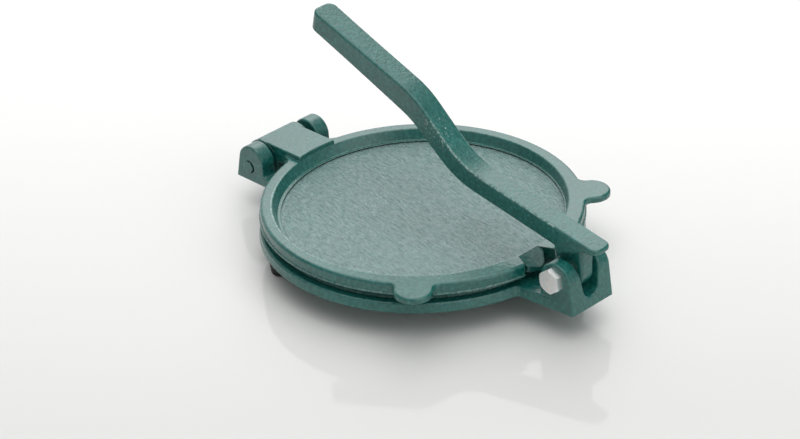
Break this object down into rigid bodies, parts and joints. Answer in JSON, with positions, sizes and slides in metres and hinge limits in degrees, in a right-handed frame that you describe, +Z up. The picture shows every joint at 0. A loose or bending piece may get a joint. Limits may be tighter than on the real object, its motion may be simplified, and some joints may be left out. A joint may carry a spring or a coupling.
{
  "type": "roti press",
  "caption": "Cast hand press for flatbread dough: a round hinged lid plate closes on a round base, pushed down by a bent lever on a clevis, all on rubber feet.",
  "frame": {"origin": "on the table, under the middle of the whole press's length and width", "axes": "+X from the lid's hinge towards the lever's pivot, +Z up, +Y across the press"},
  "size_m": [0.2894, 0.2034, 0.1454],
  "materials": {
    "green_paint": "semi-gloss grey-green hammertone paint on cast metal",
    "zinc_steel": "bright zinc plate",
    "black_rubber": "matte black rubber"
  },
  "bodies": {
    "base": {"base_plate": "green_paint", "hinge_pin": "green_paint", "pivot_bolt": "zinc_steel", "foot_front": "black_rubber", "foot_left": "black_rubber", "foot_right": "black_rubber", "foot_screws": "zinc_steel"},
    "lid": {"lid_plate": "green_paint"},
    "lever": {"lever": "green_paint"}
  },
  "joints": [
    {"name": "lever_swing", "type": "hinge", "parent": "base", "child": "lever", "pos_m": [0.1204, 0, 0.0377], "axis": [0, 1, 0], "range_deg": [0, 90]},
    {"name": "lid_hinge", "type": "hinge", "parent": "base", "child": "lid", "pos_m": [-0.1311, 0, 0.0272], "axis": [0, -1, 0], "range_deg": [0, 30]}
  ],
  "couplings": [
    {"joint": "lid_hinge", "follows": "lever_swing", "ratio": 0.33333}
  ]
}
